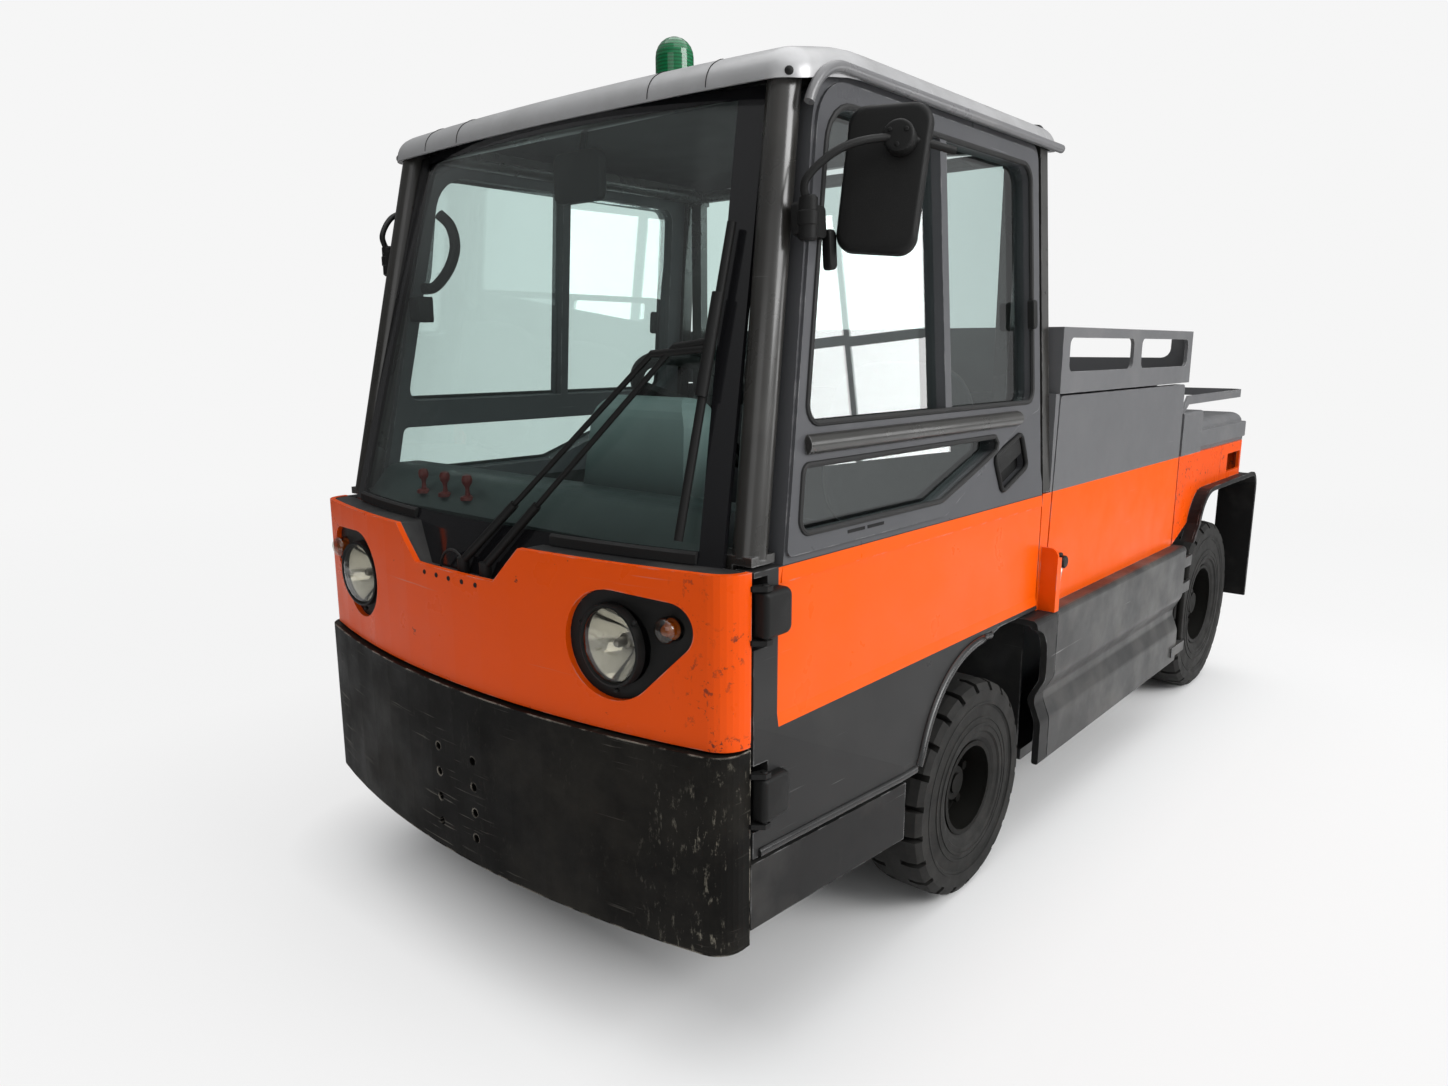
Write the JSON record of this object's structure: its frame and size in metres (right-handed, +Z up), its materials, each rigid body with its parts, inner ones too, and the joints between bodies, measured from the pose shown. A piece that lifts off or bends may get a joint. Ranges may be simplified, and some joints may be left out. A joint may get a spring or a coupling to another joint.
{
  "type": "airport tow tractor",
  "caption": "Electric airport tow tractor with a closed two-seat cab, swing side doors over the battery, a railed tray behind the cab, a low rear deck and lug tyres.",
  "frame": {"origin": "on the ground, midway between the front of the bumper and the rear of the towing jaw, on the centre line", "axes": "front faces -Y, driver's left is +X, +Z is up"},
  "size_m": [1.592, 3.379, 1.9454],
  "materials": {
    "orange_paint": "gloss",
    "charcoal_paint": "satin",
    "black_paint": "satin",
    "silver_paint": "satin",
    "frame_steel": "matte",
    "bare_steel": "worn",
    "aluminium": "satin",
    "black_plastic": "matte",
    "clear_glass": "gloss",
    "lamp_glass": "gloss",
    "amber_lens": "gloss",
    "red_lens": "gloss",
    "green_lens": "gloss",
    "tyre_rubber": "matte",
    "seat_fabric": "matte",
    "battery_case": "matte"
  },
  "bodies": {
    "tractor": {"front_frame": "frame_steel", "battery_bay": "frame_steel", "rear_frame": "frame_steel", "cab_tub": "frame_steel", "front_bumper": "black_paint", "nose_panel": "orange_paint", "lamp_bezels": "black_plastic", "headlamps": "lamp_glass", "indicators": "amber_lens", "cowl": "black_plastic", "windscreen": "clear_glass", "wipers": "black_plastic", "cab_frame": "black_paint", "roof": "silver_paint", "beacon_base": "black_plastic", "beacon_lens": "green_lens", "rear_window": "clear_glass", "post_strips": "orange_paint", "hinge_pins": "black_paint", "sills": "charcoal_paint", "gate_hinges": "frame_steel", "battery": "battery_case", "tray": "charcoal_paint", "rear_body": "orange_paint", "rear_deck": "charcoal_paint", "rear_rail": "charcoal_paint", "tail_lamps": "red_lens", "rear_fenders": "black_paint", "tow_jaw": "black_paint", "dashboard": "black_plastic", "seats": "seat_fabric", "front_axle": "frame_steel", "rear_axle": "frame_steel"},
    "door_left": {"door_left": "orange_paint", "door_left_glass": "clear_glass", "door_left_fittings": "aluminium", "door_left_hinges": "black_plastic", "mirror_left": "black_plastic"},
    "door_right": {"door_right": "orange_paint", "door_right_glass": "clear_glass", "door_right_fittings": "aluminium", "door_right_hinges": "black_plastic", "mirror_right": "black_plastic"},
    "side_door_left": {"gate_left": "charcoal_paint", "side_panel_left": "orange_paint"},
    "side_door_right": {"gate_right": "charcoal_paint", "side_panel_right": "orange_paint"},
    "steer_left": {"knuckle_left": "frame_steel"},
    "steer_right": {"knuckle_right": "frame_steel"},
    "front_wheel_left": {"front_rim_left": "frame_steel", "front_tyre_left": "tyre_rubber"},
    "front_wheel_right": {"front_rim_right": "frame_steel", "front_tyre_right": "tyre_rubber"},
    "rear_wheel_left": {"rear_rim_left": "frame_steel", "rear_tyre_left": "tyre_rubber"},
    "rear_wheel_right": {"rear_rim_right": "frame_steel", "rear_tyre_right": "tyre_rubber"},
    "hand_wheel": {"steering_wheel": "black_plastic"},
    "coupling_pin": {"tow_pin": "bare_steel"}
  },
  "joints": [
    {"name": "door_left_swing", "type": "hinge", "parent": "tractor", "child": "door_left", "pos_m": [0.669, -1.5155, 0.948], "axis": [0, 0, -1], "range_deg": [0, 75]},
    {"name": "door_right_swing", "type": "hinge", "parent": "tractor", "child": "door_right", "pos_m": [-0.669, -1.5155, 0.948], "axis": [0, 0, 1], "range_deg": [0, 75]},
    {"name": "side_door_left_swing", "type": "hinge", "parent": "tractor", "child": "side_door_left", "pos_m": [0.678, 0.8275, 0.645], "axis": [0, 0, 1], "range_deg": [0, 95]},
    {"name": "side_door_right_swing", "type": "hinge", "parent": "tractor", "child": "side_door_right", "pos_m": [-0.678, 0.8275, 0.645], "axis": [0, 0, -1], "range_deg": [0, 95]},
    {"name": "steer_left", "type": "hinge", "parent": "tractor", "child": "steer_left", "pos_m": [0.468, -0.6885, 0.265], "axis": [0, 0, 1], "range_deg": [-38, 38]},
    {"name": "steer_right", "type": "hinge", "parent": "tractor", "child": "steer_right", "pos_m": [-0.468, -0.6885, 0.265], "axis": [0, 0, 1], "range_deg": [-38, 38]},
    {"name": "front_wheel_left_spin", "type": "hinge", "parent": "steer_left", "child": "front_wheel_left", "pos_m": [0.58, -0.6885, 0.265], "axis": [1, 0, 0], "continuous": true},
    {"name": "front_wheel_right_spin", "type": "hinge", "parent": "steer_right", "child": "front_wheel_right", "pos_m": [-0.58, -0.6885, 0.265], "axis": [1, 0, 0], "continuous": true},
    {"name": "rear_wheel_left_spin", "type": "hinge", "parent": "tractor", "child": "rear_wheel_left", "pos_m": [0.542, 1.2715, 0.325], "axis": [1, 0, 0], "continuous": true},
    {"name": "rear_wheel_right_spin", "type": "hinge", "parent": "tractor", "child": "rear_wheel_right", "pos_m": [-0.542, 1.2715, 0.325], "axis": [1, 0, 0], "continuous": true},
    {"name": "hand_wheel_turn", "type": "hinge", "parent": "tractor", "child": "hand_wheel", "pos_m": [0.262, -1.1995, 1.158], "axis": [0, 0.6549, 0.7557], "range_deg": [-460, 460]},
    {"name": "coupling_pin_lift", "type": "slide", "parent": "tractor", "child": "coupling_pin", "axis": [0, 0, 1], "range_m": [0, 0.19]}
  ],
  "couplings": [
    {"joint": "steer_right", "follows": "steer_left", "ratio": 1},
    {"joint": "hand_wheel_turn", "follows": "steer_left", "ratio": 12}
  ]
}
